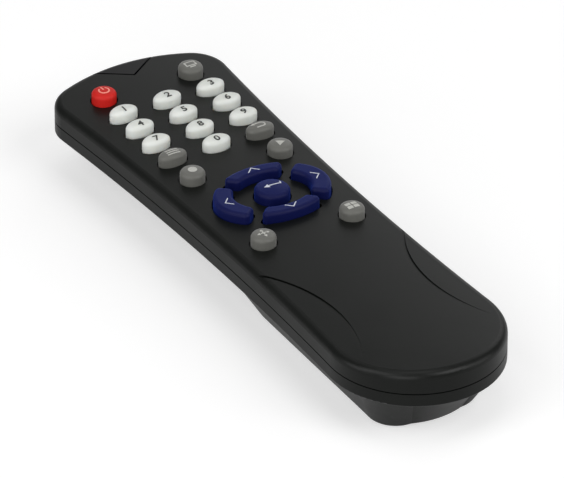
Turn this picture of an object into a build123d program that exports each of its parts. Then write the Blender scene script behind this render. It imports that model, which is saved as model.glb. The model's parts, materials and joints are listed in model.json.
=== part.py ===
"""Hand-held infrared remote control of a personal video recorder.

A waisted two-part casing with a battery hump under its tail half, a number block, a ring of four direction
keys round an enter key, and six round keys. Everything is in millimetres. The origin lies at the bottom
centre of the casing, +Y points to the head end with the infrared window, +X to the right as the remote is
held, and +Z out of the keyed face.
"""
from build123d import *
from dataclasses import dataclass
from math import cos, hypot, radians, sin, sqrt
from typing import Callable
import os

# Casing outline, seen from above
WAIST_HALF_WIDTH = 20.87
WAIST_BELOW_PAD = 13.0
SIDE_RADIUS = 930.0
HEAD_RADIUS = 54.0
HEAD_CORNER = 9.0

# Casing heights
CASE_HEIGHT = 21.0
CROWN_RADIUS = 250.0
TOP_ROUND = 2.0
SEAM_DROP = 5.83
SEAM_GAP = 0.3
FRONT_DEPTH = 9.6
BASE_ROUND = 0.6
WALL = 1.8
TOP_WALL = 2.4
FRONT_FLOOR = 1.6
LIP_WIDTH = 0.8
LIP_HEIGHT = 1.2
LIP_GAP = 0.1

# Battery hump under the tail half: its flat underside, and its outline where it leaves the casing
HUMP_AHEAD_OF_CELLS = 2.3
HUMP_BESIDE_DOOR = 1.2
HUMP_LOW_WIDENING = 0.95
HUMP_LOW_NOSE = 13.6
HUMP_LOW_SETBACK = 10.9
HUMP_LOW_SAG = 1.1
HUMP_LOW_CORNER = 7.3
HUMP_HIGH_INSET = 0.67
HUMP_HIGH_NARROWING = 0.8
HUMP_HIGH_NOSE = 35.5
HUMP_HIGH_SETBACK = 1.3
HUMP_HIGH_SAG = 4.4
HUMP_HIGH_CORNER = 9.2
HUMP_ROUND = 1.4
HUMP_OVERLAP = 0.5

# Grooves on the top near the tail
GROOVE_RADIUS = 42.0
GROOVE_OFFSET = 55.05
GROOVE_FROM_TAIL = 36.4
GROOVE_WIDTH = 0.7
GROOVE_DEPTH = 0.8
GROOVE_FADE_ANGLE = 0.72

# Infrared window at the head end
WINDOW_HALF_WIDTH = 10.4
WINDOW_LENGTH = 7.4
WINDOW_GAP = 0.5
WINDOW_FLANGE = 1.2
WINDOW_FLANGE_THICKNESS = 0.5

# Keys
PAD_FROM_HEAD = 75.3
PAD_AHEAD_OF_CELLS = 21.7
COLUMN_PITCH = 12.5
ROW_PITCH = 8.1
DIGITS_ABOVE_PAD = 51.3
TOP_ROW_ABOVE_PAD = 61.1
RECORD_ROW_ABOVE_PAD = 17.2
LOW_ROW_BELOW_PAD = 16.9
ROUND_KEY_RADIUS = 3.15
OVAL_HALF_WIDTH = 3.8
OVAL_HALF_LENGTH = 2.3
ENTER_RADIUS = 4.45
RING_HALF_WIDTH = 15.4
RING_HALF_LENGTH = 11.4
RING_HOLE_HALF_WIDTH = 10.2
RING_HOLE_HALF_LENGTH = 7.8
RING_SLOT = 2.7
RING_SLOT_ANGLE = 40.5
RING_CORNER = 1.2
KEY_RISE = 3.0
RING_RISE = 2.7
ENTER_RISE = 3.1
KEY_GAP = 0.35
KEY_EDGE_ROUND = 1.15
ENTER_EDGE_ROUND = 1.2
RING_EDGE_ROUND = 1.05
SMALL_KEY_DOME = 11.0
ENTER_DOME = 18.0
KEY_TRAVEL = 0.65
FLANGE_WIDTH = 0.8
FLANGE_THICKNESS = 0.7
FLANGE_GAP = 0.1
STEM_RADIUS = 2.0
STEM_GAP = 0.35

# Keypad sheet and circuit board
SHEET_THICKNESS = 1.0
SHEET_GAP = 0.2
BOARD_THICKNESS = 1.2
BOARD_GAP = 0.6
BOARD_ABOVE_PAD = 67.0
SHEET_ABOVE_PAD = 64.5
PAD_FILM = 0.05
CONTACT_PAD_RADIUS = 1.8

# Casing screws
SCREW_HEAD_RADIUS = 1.8
SCREW_HEAD_HEIGHT = 1.0
SCREW_RADIUS = 0.95
SCREW_LENGTH = 5.0
SCREW_SLOT_LENGTH = 2.5
SCREW_SLOT_WIDTH = 0.5
SCREW_SLOT_DEPTH = 0.5
SCREW_GAP = 0.05
HEAD_RECESS_GAP = 0.2
BOSS_RADIUS = 2.2
BOSS_NOTCH_GAP = 0.5
BOSS_HEIGHT = 1.0
FRONT_SCREWS_INSET = 3.27
FRONT_SCREWS_ABOVE_PAD = 66.2
MID_SCREWS_INSET = 4.07
MID_SCREWS_ABOVE_PAD = 9.5

# AAA cells and their compartment
CELL_RADIUS = 5.15
CELL_LENGTH = 44.5
CELL_PITCH = 10.8
CELL_NUB_RADIUS = 1.9
CELL_NUB_LENGTH = 0.8
CELL_EDGE_ROUND = 0.5
CELL_GAP = 0.2
CELL_SIDE_GAP = 0.4
COMPARTMENT_FROM_TAIL = 16.5
RIB = 1.4
ROOF_THICKNESS = 1.0
SPRING_LENGTH = 4.6
SPRING_WIRE_RADIUS = 0.3
SPRING_TURNS = 3.5
SPRING_BASE_RADIUS = 3.6
SPRING_CONE_ANGLE = 10.0
PLATE_THICKNESS = 0.4
PLATE_WIDTH = 9.0
PLATE_BOTTOM_GAP = 2.0
PLATE_TAB_WIDTH = 3.0
PLATE_TAB_REACH = 1.6
TAB_SLOT_GAP = 0.2

# Battery door and its latch
DOOR_THICKNESS = 1.6
DOOR_GAP = 0.2
DOOR_SEAT_GAP = 0.05
DOOR_LEDGE = 0.8
DOOR_CORNER = 2.5
DOOR_TAB_X = 7.0
DOOR_TAB_WIDTH = 4.0
DOOR_TAB_REACH = 1.5
DOOR_TAB_THICKNESS = 1.0
DOOR_TAB_ROOT = 1.0
DOOR_TAB_CLEARANCE = 0.15
DOOR_SLOT_GAP = 0.3
DOOR_SLOT_STEP = 0.4
DOOR_SLOT_TOP_GAP = 0.7
GRIP_LINES = 4
GRIP_LINE_PITCH = 2.0
GRIP_LINE_WIDTH = 0.7
GRIP_LINE_DEPTH = 0.35
GRIP_LINE_LENGTH = 12.0
LATCH_POCKET_GAP = 0.6
LATCH_WIDTH = 9.6
LATCH_GAP = 0.3
LATCH_CLEARANCE = 0.3
LATCH_TRAVEL = 1.2
LATCH_TAB_LENGTH = 2.3
LATCH_LEAF = 0.8
LATCH_HEIGHT = 6.0
LATCH_SETBACK = 0.4
LATCH_HOOK_GAP = 0.05
LATCH_HOOK_HEIGHT = 0.9
SCOOP_RADIUS = 4.0
SCOOP_DEPTH = 0.9
LEDGE_PAD_HEIGHT = 0.8

# Parts on the circuit board
LED_RADIUS = 1.5
LED_FLANGE_RADIUS = 1.8
LED_FLANGE_LENGTH = 0.8
LED_LENGTH = 5.6
LED_LEAD = 0.5
LED_LEAD_PITCH = 2.54
LED_LEAD_LENGTH = 2.6
LED_FRONT_GAP = 0.5
CHIP_LENGTH = 12.8
CHIP_WIDTH = 7.5
CHIP_HEIGHT = 2.2
CHIP_PINS = 10
CHIP_PIN_PITCH = 1.27
CHIP_PIN_WIDTH = 0.4
CHIP_PIN_REACH = 1.3
CHIP_FROM_BOARD_END = 9.0
CAPACITOR_RADIUS = 2.0
CAPACITOR_LENGTH = 7.0
CAPACITOR_X = 11.0
RESONATOR_SIZE = (6.0, 2.6, 4.5)
RESONATOR_X = -9.6
TRANSISTOR_SIZE = (2.9, 1.4, 1.1)
TRANSISTOR_X = 4.5
TRANSISTOR_ABOVE_PAD = 60.0
RESISTOR_SIZE = (2.0, 1.25, 0.5)
RESISTOR_COLUMNS = 2
RESISTOR_ROWS = 3
RESISTOR_PITCH_X = 4.0
RESISTOR_PITCH_Y = 3.0
RESISTORS_ABOVE_PAD = 46.0

# Places that follow from the sizes above, along the remote
COMPARTMENT_LENGTH = CELL_LENGTH + SPRING_LENGTH + 2 * PLATE_THICKNESS
LENGTH = COMPARTMENT_FROM_TAIL + COMPARTMENT_LENGTH + PAD_AHEAD_OF_CELLS + PAD_FROM_HEAD
HEAD_Y = LENGTH / 2
TAIL_Y = -LENGTH / 2
COMPARTMENT_TAIL_Y = TAIL_Y + COMPARTMENT_FROM_TAIL
COMPARTMENT_HEAD_Y = COMPARTMENT_TAIL_Y + COMPARTMENT_LENGTH
HUMP_Y = COMPARTMENT_HEAD_Y + HUMP_AHEAD_OF_CELLS
PAD_Y = HEAD_Y - PAD_FROM_HEAD
WAIST_Y = PAD_Y - WAIST_BELOW_PAD
WAIST_FROM_TAIL = WAIST_Y - TAIL_Y
BOARD_TAIL_Y = COMPARTMENT_HEAD_Y + RIB + BOARD_GAP
CHIP_Y = BOARD_TAIL_Y + CHIP_FROM_BOARD_END
DOOR_TAIL_Y = COMPARTMENT_TAIL_Y - RIB + DOOR_GAP
LATCH_POCKET = LATCH_TAB_LENGTH + 2 * LATCH_TRAVEL + LATCH_GAP + LATCH_LEAF / 2 + LATCH_CLEARANCE
DOOR_HEAD_Y = COMPARTMENT_HEAD_Y + RIB + LATCH_POCKET

# Places that follow, up from the underside and across
SEAM_Z = CASE_HEIGHT - SEAM_DROP
FRONT_BASE_Z = CASE_HEIGHT - FRONT_DEPTH
FRONT_FLOOR_Z = FRONT_BASE_Z + FRONT_FLOOR
HUMP_TOP_Z = FRONT_BASE_Z + HUMP_OVERLAP
CEILING_Z = CASE_HEIGHT - TOP_WALL
FLANGE_TOP_Z = CEILING_Z - FLANGE_GAP
FLANGE_Z = FLANGE_TOP_Z - FLANGE_THICKNESS
SHEET_TOP_Z = FLANGE_Z - KEY_TRAVEL - SHEET_GAP
BOARD_TOP_Z = SHEET_TOP_Z - SHEET_THICKNESS
BOARD_Z = BOARD_TOP_Z - BOARD_THICKNESS
STEM_Z = BOARD_TOP_Z + PAD_FILM + KEY_TRAVEL
SIDE_CENTRE_X = WAIST_HALF_WIDTH + SIDE_RADIUS
TAIL_RADIUS = (SIDE_CENTRE_X**2 + WAIST_FROM_TAIL**2 - SIDE_RADIUS**2) / (2 * (SIDE_RADIUS + WAIST_FROM_TAIL))
TAIL_CENTRE_Y = TAIL_Y + TAIL_RADIUS
CELL_Z = DOOR_THICKNESS + CELL_GAP + CELL_RADIUS
COMPARTMENT_HALF = CELL_PITCH / 2 + CELL_RADIUS + CELL_SIDE_GAP
ROOF_Z = CELL_Z + CELL_RADIUS + CELL_GAP
CONTACT_TOP_Z = ROOF_Z - TAB_SLOT_GAP
DOOR_HALF = COMPARTMENT_HALF + DOOR_LEDGE
DOOR_TAB_Z = WALL + DOOR_TAB_CLEARANCE
LATCH_POCKET_HALF = LATCH_WIDTH / 2 + LATCH_POCKET_GAP
HUMP_LOW_HALF = DOOR_HALF + DOOR_GAP + HUMP_BESIDE_DOOR
HUMP_HIGH_HALF = WAIST_HALF_WIDTH - HUMP_HIGH_INSET
FRONT_SCREWS_X = WAIST_HALF_WIDTH - FRONT_SCREWS_INSET
MID_SCREWS_X = WAIST_HALF_WIDTH - MID_SCREWS_INSET
SCREW_PLACES = [(side * FRONT_SCREWS_X, PAD_Y + FRONT_SCREWS_ABOVE_PAD) for side in (-1, 1)]
SCREW_PLACES += [(side * MID_SCREWS_X, PAD_Y + MID_SCREWS_ABOVE_PAD) for side in (-1, 1)]
SCREW_SEAT_Z = FRONT_BASE_Z + SCREW_HEAD_HEIGHT
BOSS_SPLIT_Z = FRONT_FLOOR_Z + BOSS_HEIGHT


def write_piece(shape, name):
    """Label a finished piece and write its file."""
    shape.label = name
    export_step(shape, f"parts/{name}.step")
    print(f"{name}: {len(shape.solids())} solid(s), {shape.volume:.1f} mm3")


def tail_tangent(inset):
    """Give the point where the side arc, set in by a distance, runs into the tail arc."""
    reach = TAIL_RADIUS - inset
    span = SIDE_RADIUS + TAIL_RADIUS
    return (reach * SIDE_CENTRE_X / span, TAIL_CENTRE_Y + reach * (WAIST_Y - TAIL_CENTRE_Y) / span)


def side_point(y, inset):
    """Give the point of the right side arc, set in by a distance, at a place along the casing."""
    radius = SIDE_RADIUS + inset
    return (SIDE_CENTRE_X - sqrt(radius**2 - (y - WAIST_Y) ** 2), y)


def head_corner(inset):
    """Give the sharp corner between the right side arc and the head arc, both set in by a distance."""
    side, head = SIDE_RADIUS + inset, HEAD_RADIUS - inset
    head_centre_y = HEAD_Y - HEAD_RADIUS
    across, along = SIDE_CENTRE_X, WAIST_Y - head_centre_y
    span = hypot(across, along)
    reach = (head**2 - side**2 + span**2) / (2 * span)
    rise = sqrt(head**2 - reach**2)
    x = (reach * across - rise * along) / span
    y = head_centre_y + (reach * along + rise * across) / span
    return (x, y)


def mirrored(point):
    """Give the same point on the left side."""
    return (-point[0], point[1])


def casing_outline(inset=0.0):
    """Draw the casing's outline seen from above, set in all round by a distance."""
    tangent = tail_tangent(inset)
    corner = head_corner(inset)
    middle = side_point((tangent[1] + corner[1]) / 2, inset)
    with BuildSketch() as outline:
        with BuildLine():
            ThreePointArc(tangent, middle, corner)
            ThreePointArc(corner, (0, HEAD_Y - inset), mirrored(corner))
            ThreePointArc(mirrored(corner), mirrored(middle), mirrored(tangent))
            ThreePointArc(mirrored(tangent), (0, TAIL_Y + inset), tangent)
        make_face()
        fillet(outline.vertices().group_by(Axis.Y)[-1], HEAD_CORNER - inset)
    return outline.sketch


def hump_outline(half_width, tail_half_width, nose, setback, sag, corner_radius):
    """Draw the battery hump at one height: an oval nose, slanted sides, round corners and a curved tail."""
    start = (half_width, HUMP_Y)
    end_y = TAIL_Y + setback
    centre = (tail_half_width - corner_radius, end_y + sag + corner_radius)
    bulge = (centre[0] + corner_radius * cos(radians(45)), centre[1] - corner_radius * sin(radians(45)))
    side_end = (tail_half_width, centre[1])
    corner = (centre[0], end_y + sag)
    with BuildSketch() as outline:
        with BuildLine():
            EllipticalCenterArc((0, HUMP_Y), half_width, nose, start_angle=0, arc_size=90)
            EllipticalCenterArc((0, HUMP_Y), half_width, nose, start_angle=90, arc_size=90)
            Line(mirrored(start), mirrored(side_end))
            ThreePointArc(mirrored(side_end), mirrored(bulge), mirrored(corner))
            ThreePointArc(mirrored(corner), (0, end_y), corner)
            ThreePointArc(corner, bulge, side_end)
            Line(side_end, start)
        make_face()
    return outline.sketch


def hump_high_outline(inset=0.0):
    """Draw the battery hump where it leaves the casing, set in all round by a distance."""
    return hump_outline(
        HUMP_HIGH_HALF - inset,
        HUMP_HIGH_HALF - HUMP_HIGH_NARROWING - inset,
        HUMP_HIGH_NOSE - inset,
        HUMP_HIGH_SETBACK + inset,
        HUMP_HIGH_SAG,
        HUMP_HIGH_CORNER - inset,
    )


def hump_low_outline(inset=0.0):
    """Draw the battery hump's flat underside before its rounding, set in all round by a distance."""
    return hump_outline(
        HUMP_LOW_HALF - inset,
        HUMP_LOW_HALF + HUMP_LOW_WIDENING - inset,
        HUMP_LOW_NOSE - inset,
        HUMP_LOW_SETBACK + inset,
        HUMP_LOW_SAG,
        HUMP_LOW_CORNER - inset,
    )


def window_outline(grow=0.0):
    """Draw the V of the infrared window seen from above, grown on its two slanted sides."""
    slant = hypot(WINDOW_HALF_WIDTH, WINDOW_LENGTH)
    apex_y = HEAD_Y - WINDOW_LENGTH - grow * slant / WINDOW_HALF_WIDTH
    reach = 2 * WINDOW_LENGTH
    spread = reach * WINDOW_HALF_WIDTH / WINDOW_LENGTH
    with BuildSketch() as outline:
        with BuildLine():
            Polyline((0, apex_y), (spread, apex_y + reach), (-spread, apex_y + reach), close=True)
        make_face()
    return outline.sketch


def round_plan(grow=0.0):
    """Draw a round key seen from above."""
    with BuildSketch() as plan:
        Circle(ROUND_KEY_RADIUS + grow)
    return plan.sketch


def oval_plan(grow=0.0):
    """Draw an oval key seen from above."""
    with BuildSketch() as plan:
        Ellipse(OVAL_HALF_WIDTH + grow, OVAL_HALF_LENGTH + grow)
    return plan.sketch


def enter_plan(grow=0.0):
    """Draw the enter key seen from above."""
    with BuildSketch() as plan:
        Circle(ENTER_RADIUS + grow)
    return plan.sketch


def ring_plan(across, along, grow=0.0):
    """Draw the quarter of the direction ring that lies towards one side, about the ring's centre.

    The ellipses are turned so that the point where they start and end lies outside the quarter.
    """
    angle = radians(RING_SLOT_ANGLE)
    half_slot = RING_SLOT / 2 - grow
    reach = 2 * RING_HALF_WIDTH
    turn = 180 if across > 0 else 0
    if across:
        apex = (across * half_slot / sin(angle), 0)
        ends = [(apex[0] + across * reach * cos(angle), side * reach * sin(angle)) for side in (1, -1)]
    else:
        apex = (0, along * half_slot / cos(angle))
        ends = [(side * reach * cos(angle), apex[1] + along * reach * sin(angle)) for side in (1, -1)]
    with BuildSketch() as plan:
        Ellipse(RING_HALF_WIDTH + grow, RING_HALF_LENGTH + grow, rotation=turn)
        Ellipse(RING_HOLE_HALF_WIDTH - grow, RING_HOLE_HALF_LENGTH - grow, rotation=turn, mode=Mode.SUBTRACT)
        with BuildLine():
            Polyline(apex, ends[0], ends[1], close=True)
        make_face(mode=Mode.INTERSECT)
        fillet(plan.vertices(), RING_CORNER)
    return plan.sketch


@dataclass(frozen=True)
class Key:
    """One key: its name, plan, place, height over the casing, and how its top is shaped."""

    name: str
    plan: Callable
    x: float
    y: float
    rise: float
    edge_round: float
    dome_radius: float = 0.0
    stem_x: float = 0.0
    stem_y: float = 0.0

    def top_z(self):
        """Give the height of the key's top, which follows the casing's crown."""
        across = self.x + self.stem_x
        return CASE_HEIGHT - CROWN_RADIUS + sqrt(CROWN_RADIUS**2 - across**2) + self.rise


def small_key(name, column, above_pad, plan):
    """Describe a round or oval key in one of the three columns."""
    return Key(name, plan, column * COLUMN_PITCH, PAD_Y + above_pad, KEY_RISE, KEY_EDGE_ROUND, SMALL_KEY_DOME)


def ring_key(name, across, along):
    """Describe one quarter of the direction ring, with its stem at the middle of the ring's width."""
    stem_x = across * (RING_HALF_WIDTH + RING_HOLE_HALF_WIDTH) / 2
    stem_y = along * (RING_HALF_LENGTH + RING_HOLE_HALF_LENGTH) / 2

    def plan(grow=0.0):
        return ring_plan(across, along, grow)

    return Key(name, plan, 0, PAD_Y, RING_RISE, RING_EDGE_ROUND, 0.0, stem_x, stem_y)


def list_keys():
    """List every key of the remote."""
    keys = [
        small_key("key_power", -1, TOP_ROW_ABOVE_PAD, round_plan),
        small_key("key_top_right", 1, TOP_ROW_ABOVE_PAD, round_plan),
    ]
    for digit in range(1, 10):
        row, column = divmod(digit - 1, 3)
        keys.append(small_key(f"key_{digit}", column - 1, DIGITS_ABOVE_PAD - row * ROW_PITCH, oval_plan))
    last_row = DIGITS_ABOVE_PAD - 3 * ROW_PITCH
    for name, column in (("key_menu", -1), ("key_0", 0), ("key_exit", 1)):
        keys.append(small_key(name, column, last_row, oval_plan))
    for name, column in (("key_record", -1), ("key_play", 1)):
        keys.append(small_key(name, column, RECORD_ROW_ABOVE_PAD, round_plan))
    keys += [ring_key("key_up", 0, 1), ring_key("key_down", 0, -1)]
    keys += [ring_key("key_left", -1, 0), ring_key("key_right", 1, 0)]
    keys.append(Key("key_enter", enter_plan, 0, PAD_Y, ENTER_RISE, ENTER_EDGE_ROUND, ENTER_DOME))
    for name, column in (("key_low_left", -1), ("key_low_right", 1)):
        keys.append(small_key(name, column, -LOW_ROW_BELOW_PAD, round_plan))
    return keys


KEYS = list_keys()


def stem_places():
    """List where the keys' stems stand."""
    return [(key.x + key.stem_x, key.y + key.stem_y) for key in KEYS]


def make_top_blank():
    """Make the solid upper half of the casing, crowned across and rounded along its top edge."""
    with BuildPart() as blank:
        with BuildSketch(Plane.XY.offset(SEAM_Z)):
            add(casing_outline())
        extrude(amount=SEAM_DROP + TOP_ROUND)
        with BuildSketch(Plane.XZ):
            with Locations((0, CASE_HEIGHT - CROWN_RADIUS)):
                Circle(CROWN_RADIUS)
        extrude(amount=LENGTH, both=True, mode=Mode.INTERSECT)
        fillet(blank.faces().sort_by(Axis.Z)[-1].edges(), TOP_ROUND)
    return blank.part


def make_groove_tool(side):
    """Make the cutter of one curved groove, which grows shallow towards the tail."""
    centre_y = TAIL_Y + GROOVE_FROM_TAIL
    shallow = CROWN_RADIUS - GROOVE_DEPTH
    with BuildPart() as tool:
        with BuildSketch(Plane.XY.offset(CEILING_Z + GROOVE_DEPTH)):
            with Locations((side * GROOVE_OFFSET, centre_y)):
                Circle(GROOVE_RADIUS + GROOVE_WIDTH / 2)
                Circle(GROOVE_RADIUS - GROOVE_WIDTH / 2, mode=Mode.SUBTRACT)
            with Locations((0, centre_y)):
                Rectangle(2 * WAIST_HALF_WIDTH, 2 * GROOVE_RADIUS, mode=Mode.INTERSECT)
        extrude(amount=TOP_WALL)
        tilted = Plane(
            origin=(0, centre_y + GROOVE_RADIUS, CASE_HEIGHT - CROWN_RADIUS),
            x_dir=(1, 0, 0),
            z_dir=(0, -cos(radians(GROOVE_FADE_ANGLE)), sin(radians(GROOVE_FADE_ANGLE))),
        )
        with BuildSketch(tilted):
            Circle(shallow)
        extrude(amount=LENGTH, both=True, mode=Mode.SUBTRACT)
    return tool.part


def make_top_shell(blank):
    """Make the upper casing half: key holes, window notch, grooves, lip rebate and screw bosses."""
    with BuildPart() as top_shell:
        add(blank)
        with BuildSketch(Plane.XY.offset(SEAM_Z)):
            add(casing_outline(WALL))
        extrude(amount=CEILING_Z - SEAM_Z, mode=Mode.SUBTRACT)
        with BuildSketch(Plane.XY.offset(SEAM_Z)):
            add(casing_outline(WALL - LIP_WIDTH - LIP_GAP))
        extrude(amount=LIP_HEIGHT + LIP_GAP, mode=Mode.SUBTRACT)
        with BuildSketch(Plane.XY.offset(SEAM_Z)):
            add(window_outline(WINDOW_GAP))
        extrude(amount=SEAM_DROP, mode=Mode.SUBTRACT)
        for key in KEYS:
            with BuildSketch(Plane.XY.offset(CEILING_Z)):
                with Locations((key.x, key.y)):
                    add(key.plan(KEY_GAP))
            extrude(amount=TOP_WALL, mode=Mode.SUBTRACT)
        for side in (-1, 1):
            add(make_groove_tool(side), mode=Mode.SUBTRACT)
        with BuildSketch(Plane.XY.offset(BOSS_SPLIT_Z)):
            with Locations(*SCREW_PLACES):
                Circle(BOSS_RADIUS)
        extrude(amount=CEILING_Z - BOSS_SPLIT_Z)
        with BuildSketch(Plane.XY.offset(BOSS_SPLIT_Z)):
            with Locations(*SCREW_PLACES):
                Circle(SCREW_RADIUS + SCREW_GAP)
        extrude(amount=SCREW_SEAT_Z + SCREW_LENGTH + SCREW_GAP - BOSS_SPLIT_Z, mode=Mode.SUBTRACT)
    write_piece(top_shell.part, "top_shell")


def make_ir_window(blank):
    """Make the V-shaped window: a cap flush with the casing, with a flange behind the notch's edges."""
    with BuildPart() as ir_window:
        add(blank)
        with BuildSketch(Plane.XY.offset(SEAM_Z)):
            add(window_outline())
        extrude(amount=SEAM_DROP, mode=Mode.INTERSECT)
        with BuildSketch(Plane.XY.offset(SEAM_Z)):
            add(casing_outline(WALL))
        extrude(amount=CEILING_Z - SEAM_Z, mode=Mode.SUBTRACT)
        with BuildSketch(Plane.XY.offset(SEAM_Z)):
            add(casing_outline(WALL - LIP_WIDTH - LIP_GAP))
        extrude(amount=LIP_HEIGHT + LIP_GAP, mode=Mode.SUBTRACT)
        with BuildSketch(Plane.XY.offset(CEILING_Z - WINDOW_FLANGE_THICKNESS)):
            add(window_outline(WINDOW_FLANGE))
            add(casing_outline(WALL), mode=Mode.INTERSECT)
        extrude(amount=WINDOW_FLANGE_THICKNESS)
    write_piece(ir_window.part, "ir_window")


def cut_hump_room():
    """Make the solid that hollows the battery hump, down to its floor."""
    with BuildPart() as room:
        with BuildSketch():
            add(hump_low_outline(WALL))
        with BuildSketch(Plane.XY.offset(HUMP_TOP_Z)):
            add(hump_high_outline(WALL))
        loft(ruled=True)
        with BuildSketch(Plane.XY.offset(HUMP_TOP_Z)):
            add(hump_high_outline(WALL))
        extrude(amount=FRONT_FLOOR_Z - HUMP_TOP_Z)
        split(bisect_by=Plane.XY.offset(WALL), keep=Keep.TOP)
    return room.part


def make_bottom_shell():
    """Make the lower casing half with its battery hump, compartment, screw bosses and door opening."""
    compartment_mid_y = (COMPARTMENT_TAIL_Y + COMPARTMENT_HEAD_Y) / 2
    block_half = COMPARTMENT_HALF + RIB
    opening_length = DOOR_HEAD_Y - DOOR_TAIL_Y + 2 * DOOR_GAP
    opening_mid_y = (DOOR_HEAD_Y + DOOR_TAIL_Y) / 2
    plate_half = PLATE_TAB_WIDTH / 2 + TAB_SLOT_GAP
    slot_z = WALL - DOOR_SLOT_STEP
    slot_top_z = DOOR_TAB_Z + DOOR_TAB_THICKNESS + DOOR_SLOT_TOP_GAP
    with BuildPart() as bottom_shell:
        with BuildSketch():
            add(hump_low_outline())
        with BuildSketch(Plane.XY.offset(HUMP_TOP_Z)):
            add(hump_high_outline())
        loft(ruled=True)
        fillet(bottom_shell.faces().sort_by(Axis.Z)[0].edges(), HUMP_ROUND)
        with BuildPart(mode=Mode.PRIVATE) as tray:
            with BuildSketch(Plane.XY.offset(FRONT_BASE_Z)):
                add(casing_outline())
            extrude(amount=SEAM_Z - SEAM_GAP - FRONT_BASE_Z)
            fillet(tray.faces().sort_by(Axis.Z)[0].edges(), BASE_ROUND)
        add(tray.part)
        with BuildSketch(Plane.XY.offset(SEAM_Z - SEAM_GAP)):
            add(casing_outline(WALL - LIP_WIDTH))
        extrude(amount=SEAM_GAP + LIP_HEIGHT)
        with BuildSketch(Plane.XY.offset(FRONT_FLOOR_Z)):
            add(casing_outline(WALL))
        extrude(amount=SEAM_Z + LIP_HEIGHT - FRONT_FLOOR_Z, mode=Mode.SUBTRACT)
        add(cut_hump_room(), mode=Mode.SUBTRACT)
        with BuildSketch(Plane.XY.offset(WALL / 2)):
            with Locations((0, compartment_mid_y)):
                Rectangle(2 * block_half, COMPARTMENT_LENGTH + 2 * RIB)
        extrude(amount=ROOF_Z + ROOF_THICKNESS - WALL / 2)
        with BuildSketch(Plane.XY.offset(WALL / 2)):
            with Locations((0, COMPARTMENT_HEAD_Y + RIB / 2)):
                Rectangle(2 * block_half, LATCH_POCKET + RIB, align=(Align.CENTER, Align.MIN))
                pocket_size = (2 * LATCH_POCKET_HALF, LATCH_POCKET + RIB)
                Rectangle(*pocket_size, align=(Align.CENTER, Align.MIN), mode=Mode.SUBTRACT)
        extrude(amount=WALL / 2 + LEDGE_PAD_HEIGHT)
        with BuildSketch():
            with Locations((0, compartment_mid_y)):
                Rectangle(2 * COMPARTMENT_HALF, COMPARTMENT_LENGTH)
        extrude(amount=ROOF_Z, mode=Mode.SUBTRACT)
        with BuildSketch():
            with Locations((0, opening_mid_y)):
                RectangleRounded(2 * (DOOR_HALF + DOOR_GAP), opening_length, DOOR_CORNER + DOOR_GAP)
        extrude(amount=DOOR_THICKNESS + DOOR_SEAT_GAP, mode=Mode.SUBTRACT)
        with BuildSketch():
            with Locations((0, DOOR_HEAD_Y + DOOR_GAP)):
                pocket_size = (2 * LATCH_POCKET_HALF, LATCH_POCKET + DOOR_GAP)
                Rectangle(*pocket_size, align=(Align.CENTER, Align.MAX))
        extrude(amount=WALL, mode=Mode.SUBTRACT)
        with BuildSketch():
            with Locations((0, DOOR_HEAD_Y + DOOR_GAP)):
                Circle(SCOOP_RADIUS)
        extrude(amount=SCOOP_DEPTH, mode=Mode.SUBTRACT)
        for side in (-1, 1):
            with BuildSketch(Plane.XY.offset(slot_z)):
                with Locations((side * DOOR_TAB_X, COMPARTMENT_TAIL_Y - RIB / 2)):
                    Rectangle(DOOR_TAB_WIDTH + 2 * DOOR_SLOT_GAP, 2 * RIB)
            extrude(amount=slot_top_z - slot_z, mode=Mode.SUBTRACT)
            with BuildSketch(Plane.XY.offset(CONTACT_TOP_Z - PLATE_THICKNESS - TAB_SLOT_GAP)):
                with Locations((side * CELL_PITCH / 2, COMPARTMENT_HEAD_Y + RIB / 2)):
                    Rectangle(2 * plate_half, RIB)
            extrude(amount=PLATE_THICKNESS + 2 * TAB_SLOT_GAP, mode=Mode.SUBTRACT)
        with BuildSketch(Plane.XY.offset(FRONT_FLOOR_Z - FRONT_FLOOR / 2)):
            with Locations(*SCREW_PLACES):
                Circle(BOSS_RADIUS)
        extrude(amount=BOSS_SPLIT_Z - FRONT_FLOOR_Z + FRONT_FLOOR / 2)
        with BuildSketch(Plane.XY.offset(FRONT_BASE_Z)):
            with Locations(*SCREW_PLACES):
                Circle(SCREW_HEAD_RADIUS + HEAD_RECESS_GAP)
        extrude(amount=SCREW_HEAD_HEIGHT, mode=Mode.SUBTRACT)
        with BuildSketch(Plane.XY.offset(FRONT_BASE_Z)):
            with Locations(*SCREW_PLACES):
                Circle(SCREW_RADIUS + SCREW_GAP)
        extrude(amount=BOSS_SPLIT_Z - FRONT_BASE_Z, mode=Mode.SUBTRACT)
    write_piece(bottom_shell.part, "bottom_shell")


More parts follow.
